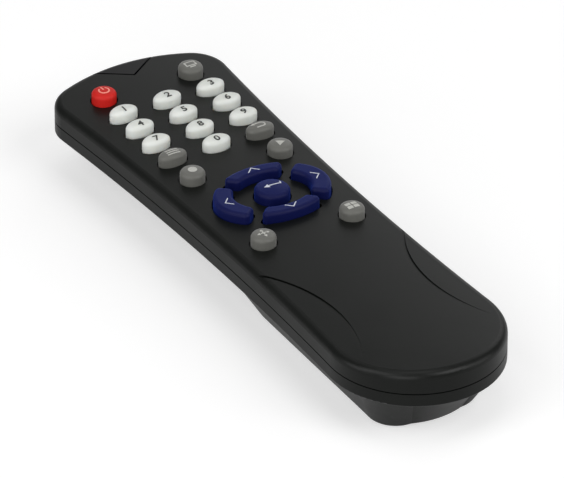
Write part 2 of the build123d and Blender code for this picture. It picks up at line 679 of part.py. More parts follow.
def make_battery_door():
    """Make the door: a flush plate, two tabs at its tail end, and the post that the latch leans on."""
    length = DOOR_HEAD_Y - DOOR_TAIL_Y
    mid_y = (DOOR_HEAD_Y + DOOR_TAIL_Y) / 2
    notch = LATCH_TAB_LENGTH + LATCH_TRAVEL + LATCH_GAP
    post_y = DOOR_HEAD_Y - notch - LATCH_LEAF / 2
    root_end_y = DOOR_TAIL_Y + DOOR_GAP + DOOR_TAB_ROOT
    tab_end_y = DOOR_TAIL_Y - DOOR_GAP - DOOR_TAB_REACH
    with BuildPart() as battery_door:
        with BuildSketch():
            with Locations((0, mid_y)):
                RectangleRounded(2 * DOOR_HALF, length, DOOR_CORNER)
            with Locations((0, DOOR_HEAD_Y - notch / 2)):
                Rectangle(LATCH_WIDTH + 2 * LATCH_GAP, notch, mode=Mode.SUBTRACT)
        extrude(amount=DOOR_THICKNESS)
        for line in range(GRIP_LINES):
            with BuildSketch():
                with Locations((0, DOOR_HEAD_Y - notch - GRIP_LINE_PITCH * (line + 1))):
                    SlotOverall(GRIP_LINE_LENGTH, GRIP_LINE_WIDTH)
            extrude(amount=GRIP_LINE_DEPTH, mode=Mode.SUBTRACT)
        with BuildSketch(Plane.XY.offset(DOOR_THICKNESS)):
            with Locations((0, post_y)):
                Rectangle(LATCH_WIDTH, LATCH_LEAF)
        extrude(amount=LATCH_HEIGHT - DOOR_THICKNESS)
        for side in (-1, 1):
            tab_x = side * DOOR_TAB_X
            with BuildSketch(Plane.XY.offset(DOOR_THICKNESS / 2)):
                with Locations((tab_x, DOOR_TAIL_Y + DOOR_GAP + DOOR_TAB_ROOT / 2)):
                    Rectangle(DOOR_TAB_WIDTH, DOOR_TAB_ROOT)
            extrude(amount=DOOR_TAB_Z + DOOR_TAB_THICKNESS - DOOR_THICKNESS / 2)
            with BuildSketch(Plane.XY.offset(DOOR_TAB_Z)):
                with Locations((tab_x, root_end_y)):
                    Rectangle(DOOR_TAB_WIDTH, root_end_y - tab_end_y, align=(Align.CENTER, Align.MAX))
            extrude(amount=DOOR_TAB_THICKNESS)
    write_piece(battery_door.part, "battery_door")


def make_door_latch():
    """Make the latch: a finger tab, an upright leaf with a hook, and an arch over the door's post."""
    tab_end_y = DOOR_HEAD_Y - LATCH_TAB_LENGTH
    leaf_y = DOOR_HEAD_Y - LATCH_SETBACK
    leaf_end_y = leaf_y - LATCH_LEAF
    hook_z = WALL + DOOR_TAB_CLEARANCE
    hook_y = DOOR_HEAD_Y + DOOR_GAP - LATCH_HOOK_GAP
    arch_end_y = tab_end_y - LATCH_TRAVEL - LATCH_GAP - LATCH_LEAF / 2
    arch_top_z = LATCH_HEIGHT + LATCH_LEAF
    with BuildPart() as door_latch:
        with BuildSketch(Plane.YZ):
            with BuildLine():
                Polyline(
                    (tab_end_y, 0),
                    (DOOR_HEAD_Y, 0),
                    (DOOR_HEAD_Y, DOOR_THICKNESS),
                    (leaf_y, DOOR_THICKNESS),
                    (leaf_y, hook_z),
                    (hook_y, hook_z),
                    (leaf_y, hook_z + LATCH_HOOK_HEIGHT),
                    (leaf_y, arch_top_z),
                    (arch_end_y, arch_top_z),
                    (arch_end_y, LATCH_HEIGHT),
                    (leaf_end_y, LATCH_HEIGHT),
                    (leaf_end_y, DOOR_THICKNESS),
                    (tab_end_y, DOOR_THICKNESS),
                    close=True,
                )
            make_face()
        extrude(amount=LATCH_WIDTH / 2, both=True)
    write_piece(door_latch.part, "door_latch")


def board_plan(head_y, inset):
    """Draw a sheet that fills the casing's keyed half up to a line, notched round the screw bosses."""
    with BuildSketch() as plan:
        add(casing_outline(inset))
        with Locations((0, (head_y + BOARD_TAIL_Y) / 2)):
            Rectangle(LENGTH, head_y - BOARD_TAIL_Y, mode=Mode.INTERSECT)
        with Locations(*SCREW_PLACES):
            Circle(BOSS_RADIUS + BOSS_NOTCH_GAP, mode=Mode.SUBTRACT)
    return plan.sketch


def make_keypad_sheet():
    """Make the silicone sheet that lies on the board, with a hole for each key's stem."""
    with BuildPart() as keypad_sheet:
        with BuildSketch(Plane.XY.offset(BOARD_TOP_Z)):
            add(board_plan(PAD_Y + SHEET_ABOVE_PAD, WALL + BOARD_GAP))
            with Locations(*stem_places()):
                Circle(STEM_RADIUS + STEM_GAP, mode=Mode.SUBTRACT)
        extrude(amount=SHEET_THICKNESS)
    write_piece(keypad_sheet.part, "keypad_sheet")


def make_circuit_board():
    """Make the circuit board."""
    with BuildPart() as circuit_board:
        with BuildSketch(Plane.XY.offset(BOARD_Z)):
            add(board_plan(PAD_Y + BOARD_ABOVE_PAD, WALL + BOARD_GAP))
        extrude(amount=BOARD_THICKNESS)
    write_piece(circuit_board.part, "circuit_board")


def make_contact_pads():
    """Make the carbon pads printed on the board under the keys."""
    with BuildPart() as contact_pads:
        with BuildSketch(Plane.XY.offset(BOARD_TOP_Z)):
            with Locations(*stem_places()):
                Circle(CONTACT_PAD_RADIUS)
        extrude(amount=PAD_FILM)
    write_piece(contact_pads.part, "contact_pads")


def make_key(key):
    """Make one key: a domed cap, the flange that keeps it in the casing, and its stem."""
    with BuildPart() as piece:
        with BuildSketch(Plane.XY.offset(FLANGE_Z)):
            with Locations((key.x, key.y)):
                add(key.plan())
        extrude(amount=key.top_z() - FLANGE_Z)
        if key.dome_radius:
            with Locations((key.x, key.y, key.top_z() - key.dome_radius)):
                Sphere(key.dome_radius, mode=Mode.INTERSECT)
        fillet(piece.faces().sort_by(Axis.Z)[-1].edges(), key.edge_round)
        with BuildSketch(Plane.XY.offset(FLANGE_Z)):
            with Locations((key.x, key.y)):
                add(key.plan(FLANGE_WIDTH))
        extrude(amount=FLANGE_THICKNESS)
        with BuildSketch(Plane.XY.offset(STEM_Z)):
            with Locations((key.x + key.stem_x, key.y + key.stem_y)):
                Circle(STEM_RADIUS)
        extrude(amount=FLANGE_Z - STEM_Z)
    write_piece(piece.part, key.name)


def make_case_screws():
    """Make the four self-tapping screws, heads down in the underside, each with a cross slot."""
    with BuildPart() as case_screws:
        with BuildSketch(Plane.XY.offset(FRONT_BASE_Z)):
            with Locations(*SCREW_PLACES):
                Circle(SCREW_HEAD_RADIUS)
        extrude(amount=SCREW_HEAD_HEIGHT)
        with BuildSketch(Plane.XY.offset(SCREW_SEAT_Z)):
            with Locations(*SCREW_PLACES):
                Circle(SCREW_RADIUS)
        extrude(amount=SCREW_LENGTH)
        with BuildSketch(Plane.XY.offset(FRONT_BASE_Z)):
            with Locations(*SCREW_PLACES):
                Rectangle(SCREW_SLOT_LENGTH, SCREW_SLOT_WIDTH)
                Rectangle(SCREW_SLOT_WIDTH, SCREW_SLOT_LENGTH)
        extrude(amount=SCREW_SLOT_DEPTH, mode=Mode.SUBTRACT)
    write_piece(case_screws.part, "case_screws")


def make_cell(name, side):
    """Make one AAA cell: the right one has its nub towards the head, the left one towards the tail."""
    if side > 0:
        flat_y = COMPARTMENT_TAIL_Y + PLATE_THICKNESS + SPRING_LENGTH
    else:
        flat_y = COMPARTMENT_HEAD_Y - PLATE_THICKNESS - SPRING_LENGTH
    base = Plane(origin=(side * CELL_PITCH / 2, flat_y, CELL_Z), x_dir=(1, 0, 0), z_dir=(0, side, 0))
    with BuildPart() as cell:
        with BuildSketch(base):
            Circle(CELL_RADIUS)
        extrude(amount=CELL_LENGTH - CELL_NUB_LENGTH)
        fillet(cell.edges(), CELL_EDGE_ROUND)
        with BuildSketch(base.offset(CELL_LENGTH - CELL_NUB_LENGTH)):
            Circle(CELL_NUB_RADIUS)
        extrude(amount=CELL_NUB_LENGTH)
    write_piece(cell.part, name)


def spring_coil(x, plate_y, direction):
    """Make one conical battery spring that stands on a contact plate."""
    height = SPRING_LENGTH - SPRING_WIRE_RADIUS
    path = Helix(
        pitch=height / SPRING_TURNS,
        height=height,
        radius=SPRING_BASE_RADIUS,
        center=(x, plate_y, CELL_Z),
        direction=(0, direction, 0),
        cone_angle=-SPRING_CONE_ANGLE,
        mode=Mode.PRIVATE,
    )
    with BuildPart() as coil:
        with BuildSketch(Plane(origin=path @ 0, z_dir=path % 0)):
            Circle(SPRING_WIRE_RADIUS)
        sweep(path=path, is_frenet=True)
    return coil.part


def contact_plate(x, y, width, low_z, high_z, reach):
    """Make a flat contact plate that stands against a compartment wall and grows along Y."""
    with BuildPart() as plate:
        with BuildSketch(Plane(origin=(x, y, (low_z + high_z) / 2), x_dir=(1, 0, 0), z_dir=(0, 1, 0))):
            Rectangle(width, high_z - low_z)
        extrude(amount=reach)
    return plate.part


def make_contacts():
    """Make the two contacts at the head wall and the bridge contact at the tail wall."""
    low_z = DOOR_THICKNESS + PLATE_BOTTOM_GAP
    top_z = CONTACT_TOP_Z
    tab_z = top_z - PLATE_THICKNESS
    head_face_y = COMPARTMENT_HEAD_Y - PLATE_THICKNESS
    tail_face_y = COMPARTMENT_TAIL_Y + PLATE_THICKNESS
    tab_length = PLATE_THICKNESS + RIB + BOARD_GAP + PLATE_TAB_REACH
    riser_y = head_face_y + tab_length - PLATE_THICKNESS
    for name, side, sprung in (("contact_positive", 1, False), ("contact_negative", -1, True)):
        x = side * CELL_PITCH / 2
        with BuildPart() as contact:
            add(contact_plate(x, head_face_y, PLATE_WIDTH, low_z, top_z, PLATE_THICKNESS))
            add(contact_plate(x, head_face_y, PLATE_TAB_WIDTH, tab_z, top_z, tab_length))
            add(contact_plate(x, riser_y, PLATE_TAB_WIDTH, tab_z, BOARD_Z, PLATE_THICKNESS))
            if sprung:
                add(spring_coil(x, head_face_y, -1))
        write_piece(contact.part, name)
    with BuildPart() as bridge_contact:
        width = CELL_PITCH + PLATE_WIDTH
        add(contact_plate(0, COMPARTMENT_TAIL_Y, width, low_z, top_z, PLATE_THICKNESS))
        add(spring_coil(CELL_PITCH / 2, tail_face_y, 1))
    write_piece(bridge_contact.part, "bridge_contact")


def make_ir_led():
    """Make the infrared lamp: flange, round body with a domed tip, and two leads on the board."""
    axis_z = BOARD_TOP_Z + LED_LEAD / 2
    tip_y = HEAD_Y - WALL - LED_FRONT_GAP
    flange_y = tip_y - LED_LENGTH
    profile_plane = Plane(origin=(0, flange_y, axis_z), x_dir=(1, 0, 0), z_dir=(0, 0, 1))
    with BuildPart() as ir_led:
        with BuildSketch(profile_plane):
            with BuildLine():
                straight = LED_LENGTH - LED_RADIUS
                Polyline(
                    (0, 0),
                    (LED_FLANGE_RADIUS, 0),
                    (LED_FLANGE_RADIUS, LED_FLANGE_LENGTH),
                    (LED_RADIUS, LED_FLANGE_LENGTH),
                    (LED_RADIUS, straight),
                )
                RadiusArc((LED_RADIUS, straight), (0, LED_LENGTH), -LED_RADIUS)
                Line((0, LED_LENGTH), (0, 0))
            make_face()
        revolve(axis=Axis((0, flange_y, axis_z), (0, 1, 0)))
        with Locations((0, flange_y - LED_LEAD_LENGTH / 2, axis_z)):
            with GridLocations(LED_LEAD_PITCH, 1, 2, 1):
                Box(LED_LEAD, LED_LEAD_LENGTH, LED_LEAD)
    write_piece(ir_led.part, "ir_led")


def make_controller_chip():
    """Make the controller chip under the board, with a row of pins on each long side."""
    with BuildPart() as controller_chip:
        with Locations((0, CHIP_Y, BOARD_Z)):
            Box(CHIP_WIDTH, CHIP_LENGTH, CHIP_HEIGHT, align=(Align.CENTER, Align.CENTER, Align.MAX))
            with GridLocations(1, CHIP_PIN_PITCH, 1, CHIP_PINS):
                width = CHIP_WIDTH + 2 * CHIP_PIN_REACH
                Box(width, CHIP_PIN_WIDTH, CHIP_PIN_WIDTH, align=(Align.CENTER, Align.CENTER, Align.MAX))
    write_piece(controller_chip.part, "controller_chip")


def make_board_parts():
    """Make the small parts soldered under the board."""
    with BuildPart() as capacitor:
        axis = Plane(
            origin=(CAPACITOR_X, CHIP_Y, BOARD_Z - CAPACITOR_RADIUS),
            x_dir=(1, 0, 0),
            z_dir=(0, 1, 0),
        )
        with BuildSketch(axis):
            Circle(CAPACITOR_RADIUS)
        extrude(amount=CAPACITOR_LENGTH / 2, both=True)
        fillet(capacitor.edges().filter_by(GeomType.CIRCLE), CAPACITOR_RADIUS / 6)
    write_piece(capacitor.part, "capacitor")
    with BuildPart() as resonator:
        with Locations((RESONATOR_X, CHIP_Y, BOARD_Z - RESONATOR_SIZE[2] / 2)):
            Box(RESONATOR_SIZE[1], RESONATOR_SIZE[0], RESONATOR_SIZE[2])
        fillet(resonator.edges().filter_by(Axis.Z), RESONATOR_SIZE[1] / 4)
    write_piece(resonator.part, "resonator")
    with BuildPart() as driver_transistor:
        with Locations((TRANSISTOR_X, PAD_Y + TRANSISTOR_ABOVE_PAD, BOARD_Z - TRANSISTOR_SIZE[2] / 2)):
            Box(*TRANSISTOR_SIZE)
    write_piece(driver_transistor.part, "driver_transistor")
    with BuildPart() as chip_resistors:
        with Locations((0, PAD_Y + RESISTORS_ABOVE_PAD, BOARD_Z - RESISTOR_SIZE[2] / 2)):
            with GridLocations(RESISTOR_PITCH_X, RESISTOR_PITCH_Y, RESISTOR_COLUMNS, RESISTOR_ROWS):
                Box(*RESISTOR_SIZE)
    write_piece(chip_resistors.part, "chip_resistors")


def main():
    """Build every piece of the remote."""
    os.makedirs("parts", exist_ok=True)
    blank = make_top_blank()
    make_top_shell(blank)
    make_ir_window(blank)
    make_bottom_shell()
    make_battery_door()
    make_door_latch()
    make_keypad_sheet()
    make_circuit_board()
    make_contact_pads()
    for key in KEYS:
        make_key(key)
    make_case_screws()
    make_cell("battery_left", -1)
    make_cell("battery_right", 1)
    make_contacts()
    make_ir_led()
    make_controller_chip()
    make_board_parts()


main()
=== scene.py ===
"""Looks of a hand-held infrared remote control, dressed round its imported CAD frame.

The casing, keys and inner parts come from the frame and get their finishes here. The printed signs on the
keys are modelled here, laid on the keys' domed tops, and ride on the keys.
"""
from __future__ import annotations

import json
import logging
import math
from dataclasses import dataclass
from enum import Enum, auto

import bmesh
import bpy
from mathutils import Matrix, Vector


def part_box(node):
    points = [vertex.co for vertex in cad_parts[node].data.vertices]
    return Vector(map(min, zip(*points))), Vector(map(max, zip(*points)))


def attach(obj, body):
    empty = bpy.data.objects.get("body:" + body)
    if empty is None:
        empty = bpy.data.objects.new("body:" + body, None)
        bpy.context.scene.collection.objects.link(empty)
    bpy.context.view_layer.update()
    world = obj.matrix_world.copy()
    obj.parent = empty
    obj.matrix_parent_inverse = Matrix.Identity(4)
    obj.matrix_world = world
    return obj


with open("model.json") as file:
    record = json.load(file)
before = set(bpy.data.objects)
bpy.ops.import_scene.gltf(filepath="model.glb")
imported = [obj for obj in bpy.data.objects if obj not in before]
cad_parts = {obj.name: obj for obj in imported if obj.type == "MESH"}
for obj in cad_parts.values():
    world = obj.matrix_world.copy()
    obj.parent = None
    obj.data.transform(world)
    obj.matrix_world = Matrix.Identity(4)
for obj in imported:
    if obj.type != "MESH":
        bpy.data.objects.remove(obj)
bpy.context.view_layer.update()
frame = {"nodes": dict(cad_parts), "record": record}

MM = 0.001
LOG = logging.getLogger("remote_control")

Colour = tuple[float, float, float, float]
Triple = tuple[float, float, float]
WHITE = (1.0, 1.0, 1.0, 1.0)

# The curve between a screen's levels and the light that they stand for.
TOP_LEVEL = 255
DARK_LIMIT = 0.04045
DARK_SLOPE = 12.92
CURVE_SHIFT = 0.055
CURVE_POWER = 2.4

# A Mix node's colour sockets share their names with others of its sockets, so they are taken by number.
MIX_SHARE, MIX_FIRST, MIX_SECOND, MIX_RESULT = 0, 6, 7, 2


def linear(red: int, green: int, blue: int) -> Colour:
    """Turn a colour as a screen shows it into the light levels that shaders use.

    Args:
        red: Red level from 0 to 255.
        green: Green level from 0 to 255.
        blue: Blue level from 0 to 255.

    Returns:
        The colour's linear red, green and blue, and an alpha of 1.
    """
    levels = []
    for level in (red, green, blue):
        share = level / TOP_LEVEL
        if share <= DARK_LIMIT:
            levels.append(share / DARK_SLOPE)
        else:
            levels.append(((share + CURVE_SHIFT) / (1 + CURVE_SHIFT)) ** CURVE_POWER)
    return (levels[0], levels[1], levels[2], 1.0)


def deselect_all() -> None:
    """Leave nothing selected, so that an operator acts only on what is added or chosen next."""
    bpy.ops.object.select_all(action="DESELECT")


def choose(piece: bpy.types.Object) -> None:
    """Make one object the only selected one, and the active one.

    Args:
        piece: The object.
    """
    deselect_all()
    piece.select_set(True)
    bpy.context.view_layer.objects.active = piece


def direction(azimuth: float, elevation: float) -> Vector:
    """Give the direction from the object towards a lamp or camera.

    Args:
        azimuth: The turn in degrees, 0 towards the tail and 90 to the right.
        elevation: The height above the floor in degrees.

    Returns:
        The direction, one metre long.
    """
    turn, lift = math.radians(azimuth), math.radians(elevation)
    return Vector((math.sin(turn) * math.cos(lift), -math.cos(turn) * math.cos(lift), math.sin(lift)))


def node_middle(node: str) -> Vector:
    """Give the middle of a CAD node's box."""
    low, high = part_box(node)
    return (Vector(low) + Vector(high)) / 2


class Recipe:
    """A material under construction: a principled shader and the procedural nodes that feed it."""

    PATCH_DETAIL = 3.0
    GLOSS_DETAIL = 4.0

    def __init__(self, name: str) -> None:
        """Start a material.

        Args:
            name: The material's name.
        """
        self.material = bpy.data.materials.new(name)
        self.material.use_nodes = True
        self.tree = self.material.node_tree
        self.shader = self.tree.nodes["Principled BSDF"]
        self.place = self.tree.nodes.new("ShaderNodeTexCoord")

    def join(self, source: bpy.types.NodeSocket, target: bpy.types.NodeSocket) -> None:
        """Link one socket to another."""
        self.tree.links.new(source, target)

    def fix(self, **values: float | tuple[float, ...]) -> None:
        """Set values on the shader's own sockets.

        Args:
            **values: Socket names in lower case with underscores, and their values.
        """
        for name, value in values.items():
            socket = next(s for s in self.shader.inputs if s.name.lower().replace(" ", "_") == name)
            socket.default_value = value

    def stretched_place(self, stretch: Triple) -> bpy.types.NodeSocket:
        """Give object coordinates scaled along each axis.

        Args:
            stretch: How much finer a pattern is along X, Y and Z.

        Returns:
            The vector socket to feed to a texture.
        """
        mapping = self.tree.nodes.new("ShaderNodeMapping")
        mapping.inputs["Scale"].default_value = stretch
        self.join(self.place.outputs["Object"], mapping.inputs["Vector"])
        return mapping.outputs["Vector"]

    def noise(
        self, size: float, detail: float = 2.0, stretch: Triple = (1.0, 1.0, 1.0)
    ) -> bpy.types.NodeSocket:
        """Add a cloudy pattern.

        Args:
            size: The size of its patches in metres.
            detail: How many finer layers it has.
            stretch: How much finer it is along X, Y and Z.

        Returns:
            The pattern's value socket.
        """
        texture = self.tree.nodes.new("ShaderNodeTexNoise")
        texture.inputs["Scale"].default_value = 1 / size
        texture.inputs["Detail"].default_value = detail
        self.join(self.stretched_place(stretch), texture.inputs["Vector"])
        return texture.outputs["Fac"]

    def span(
        self, value: bpy.types.NodeSocket, low: float, high: float, start: float = 0.3, end: float = 0.7
    ) -> bpy.types.NodeSocket:
        """Spread a pattern's value over a range.

        Args:
            value: The pattern's value socket.
            low: The result at the start value.
            high: The result at the end value.
            start: The pattern's value where the range starts.
            end: The pattern's value where the range ends.

        Returns:
            The spread value's socket.
        """
        spread = self.tree.nodes.new("ShaderNodeMapRange")
        for name, number in (("From Min", start), ("From Max", end), ("To Min", low), ("To Max", high)):
            spread.inputs[name].default_value = number
        self.join(value, spread.inputs["Value"])
        return spread.outputs["Result"]

    def mix(
        self,
        share: bpy.types.NodeSocket,
        first: Colour | bpy.types.NodeSocket,
        second: Colour | bpy.types.NodeSocket,
    ) -> bpy.types.NodeSocket:
        """Mix two colours by a pattern.

        Args:
            share: The socket that says how much of the second colour shows.
            first: The first colour, or a socket that gives it.
            second: The second colour, or a socket that gives it.

        Returns:
            The mixed colour's socket.
        """
        blend = self.tree.nodes.new("ShaderNodeMix")
        blend.data_type = "RGBA"
        self.join(share, blend.inputs[MIX_SHARE])
        for place, colour in ((MIX_FIRST, first), (MIX_SECOND, second)):
            socket = blend.inputs[place]
            if isinstance(colour, bpy.types.NodeSocket):
                self.join(colour, socket)
            else:
                socket.default_value = colour
        return blend.outputs[MIX_RESULT]

    def mottle(self, colour: Colour, size: float, strength: float) -> None:
        """Colour the shader, a little lighter and darker from patch to patch.

        Args:
            colour: The middle colour.
            size: The patches' size in metres.
            strength: The share by which they are lighter or darker.
        """
        dark = tuple(level * (1 - strength) for level in colour[:3]) + (1.0,)
        light = tuple(min(1.0, level * (1 + strength)) for level in colour[:3]) + (1.0,)
        share = self.span(self.noise(size, self.PATCH_DETAIL), 0.0, 1.0)
        self.join(self.mix(share, dark, light), self.shader.inputs["Base Color"])

    def bump(self, height: bpy.types.NodeSocket, depth: float) -> None:
        """Raise the surface by a pattern.

        Args:
            height: The pattern's value socket.
            depth: The height in metres of the pattern's full range.
        """
        relief = self.tree.nodes.new("ShaderNodeBump")
        relief.inputs["Distance"].default_value = depth
        relief.inputs["Strength"].default_value = 1.0
        self.join(height, relief.inputs["Height"])
        self.join(relief.outputs["Normal"], self.shader.inputs["Normal"])

    def uneven_gloss(self, roughness: float, spread: float, size: float) -> None:
        """Make the gloss vary softly, as it does where hands have been.

        Args:
            roughness: The middle roughness.
            spread: How far it goes to either side.
            size: The patches' size in metres.
        """
        pattern = self.span(self.noise(size, self.GLOSS_DETAIL), roughness - spread, roughness + spread)
        self.join(pattern, self.shader.inputs["Roughness"])


@dataclass(frozen=True)
class MouldedPlastic:
    """Injection-moulded plastic with a fine eroded grain."""

    name: str
    colour: Colour
    roughness: float = 0.42
    gloss_spread: float = 0.05
    smudge_size: float = 0.018
    patch_size: float = 0.009
    unevenness: float = 0.08
    grain_size: float = 0.00035
    grain_depth: float = 0.000012
    grain_detail: float = 3.0
    index: float = 1.5

    def make(self) -> bpy.types.Material:
        """Build the material.

        Returns:
            The material.
        """
        recipe = Recipe(self.name)
        recipe.mottle(self.colour, self.patch_size, self.unevenness)
        recipe.uneven_gloss(self.roughness, self.gloss_spread, self.smudge_size)
        recipe.fix(ior=self.index)
        recipe.bump(recipe.noise(self.grain_size, self.grain_detail), self.grain_depth)
        return recipe.material


@dataclass(frozen=True)
class Silicone:
    """Matte silicone rubber: soft gloss, a dusty bloom, and a faint orange peel."""

    name: str
    colour: Colour
    roughness: float = 0.5
    gloss_spread: float = 0.04
    bloom: float = 0.0
    bloom_colour: Colour = WHITE
    bloom_roughness: float = 0.5
    peel_size: float = 0.0006
    peel_depth: float = 0.00002
    patch_size: float = 0.004
    unevenness: float = 0.04
    index: float = 1.43
    glow_through: float = 0.0
    glow_depth: float = 0.0015
    glow_reach: Triple = (1.0, 0.95, 0.9)

    def make(self) -> bpy.types.Material:
        """Build the material.

        Returns:
            The material.
        """
        recipe = Recipe(self.name)
        recipe.mottle(self.colour, self.patch_size, self.unevenness)
        recipe.uneven_gloss(self.roughness, self.gloss_spread, self.patch_size)
        recipe.fix(
            ior=self.index,
            sheen_weight=self.bloom,
            sheen_tint=self.bloom_colour,
            sheen_roughness=self.bloom_roughness,
            subsurface_weight=self.glow_through,
            subsurface_scale=self.glow_depth,
            subsurface_radius=self.glow_reach,
        )
        recipe.bump(recipe.noise(self.peel_size), self.peel_depth)
        return recipe.material


@dataclass(frozen=True)
class PadPrint:
    """Ink put on with a soft pad: a thin satin layer, a little uneven where it has rubbed."""

    name: str
    colour: Colour
    worn_colour: Colour
    wear: float = 0.35
    wear_from: float = 0.5
    wear_to: float = 0.72
    speck_size: float = 0.0004
    speck_detail: float = 3.0
    film_size: float = 0.0002
    film_detail: float = 1.0
    film_depth: float = 0.000005
    roughness: float = 0.45

    def make(self) -> bpy.types.Material:
        """Build the material.

        Returns:
            The material.
        """
        recipe = Recipe(self.name)
        specks = recipe.noise(self.speck_size, self.speck_detail)
        rubbed = recipe.span(specks, 0.0, self.wear, self.wear_from, self.wear_to)
        recipe.join(recipe.mix(rubbed, self.colour, self.worn_colour), recipe.shader.inputs["Base Color"])
        recipe.fix(roughness=self.roughness)
        recipe.bump(recipe.noise(self.film_size, self.film_detail), self.film_depth)
        return recipe.material


@dataclass(frozen=True)
class Metal:
    """Bare metal with fine lines from rolling or turning."""

    name: str
    colour: Colour
    roughness: float = 0.3
    gloss_spread: float = 0.06
    smudge_size: float = 0.004
    patch_size: float = 0.0032
    unevenness: float = 0.06
    line_size: float = 0.0004
    line_depth: float = 0.000006
    stretch: Triple = (1.0, 0.08, 1.0)

    def make(self) -> bpy.types.Material:
        """Build the material.

        Returns:
            The material.
        """
        recipe = Recipe(self.name)
        recipe.mottle(self.colour, self.patch_size, self.unevenness)
        recipe.uneven_gloss(self.roughness, self.gloss_spread, self.smudge_size)
        recipe.fix(metallic=1.0)
        recipe.bump(recipe.noise(self.line_size, stretch=self.stretch), self.line_depth)
        return recipe.material


@dataclass(frozen=True)
class BoardLacquer:
    """Green lacquer over copper tracks, which show as lighter, slightly raised strips."""

    name: str
    colour: Colour
    track_colour: Colour
    track_pitch: float = 0.0016
    track_width: float = 0.06
    track_offset: float = 0.37
    track_squash: float = 2.0
    relief_share: float = 1 / 60
    roughness: float = 0.4
    coat: float = 0.4
    coat_roughness: float = 0.15

    def make(self) -> bpy.types.Material:
        """Build the material.

        Returns:
            The material.
        """
        recipe = Recipe(self.name)
        bricks = recipe.tree.nodes.new("ShaderNodeTexBrick")
        bricks.inputs["Scale"].default_value = 1 / self.track_pitch
        bricks.inputs["Mortar Size"].default_value = self.track_width
        bricks.inputs["Color1"].default_value = self.colour
        bricks.inputs["Color2"].default_value = self.colour
        bricks.inputs["Mortar"].default_value = self.track_colour
        bricks.offset = self.track_offset
        bricks.squash = self.track_squash
        recipe.join(recipe.place.outputs["Object"], bricks.inputs["Vector"])
        recipe.join(bricks.outputs["Color"], recipe.shader.inputs["Base Color"])
        recipe.fix(coat_weight=self.coat, coat_roughness=self.coat_roughness, roughness=self.roughness)
        recipe.bump(bricks.outputs["Fac"], self.track_pitch * self.relief_share)
        return recipe.material


@dataclass(frozen=True)
class CellJacket:
    """A battery's printed sleeve: a plain body, a coloured band near one end, and a bare metal cap."""

    name: str
    body_colour: Colour
    band_colour: Colour
    metal_colour: Colour
    band_from: float
    band_to: float
    metal_beyond: float
    edge: float = 0.00005
    roughness: float = 0.3
    gloss_spread: float = 0.05
    smudge_size: float = 0.004
    dent_size: float = 0.0008
    dent_depth: float = 0.000008

    def share_beyond(self, recipe: Recipe, along: bpy.types.NodeSocket, limit: float) -> bpy.types.NodeSocket:
        """Give 1 past a place along the cell, and 0 before it."""
        return recipe.span(along, 0.0, 1.0, limit - self.edge, limit + self.edge)

    def make(self) -> bpy.types.Material:
        """Build the material.

        Returns:
            The material.
        """
        recipe = Recipe(self.name)
        axes = recipe.tree.nodes.new("ShaderNodeSeparateXYZ")
        recipe.join(recipe.place.outputs["Object"], axes.inputs["Vector"])
        along = axes.outputs["Y"]
        band_start = self.share_beyond(recipe, along, self.band_from)
        banded = recipe.mix(band_start, self.body_colour, self.band_colour)
        band_end = self.share_beyond(recipe, along, self.band_to)
        sleeve = recipe.mix(band_end, banded, self.body_colour)
        metal = self.share_beyond(recipe, along, self.metal_beyond)
        recipe.join(recipe.mix(metal, sleeve, self.metal_colour), recipe.shader.inputs["Base Color"])
        recipe.join(metal, recipe.shader.inputs["Metallic"])
        recipe.uneven_gloss(self.roughness, self.gloss_spread, self.smudge_size)
        recipe.bump(recipe.noise(self.dent_size), self.dent_depth)
        return recipe.material


class Pointing(Enum):
    """Which way a triangle's tip points, by its turn in degrees."""

    UP = 0.0
    RIGHT = 30.0
    DOWN = 60.0
    LEFT = -30.0


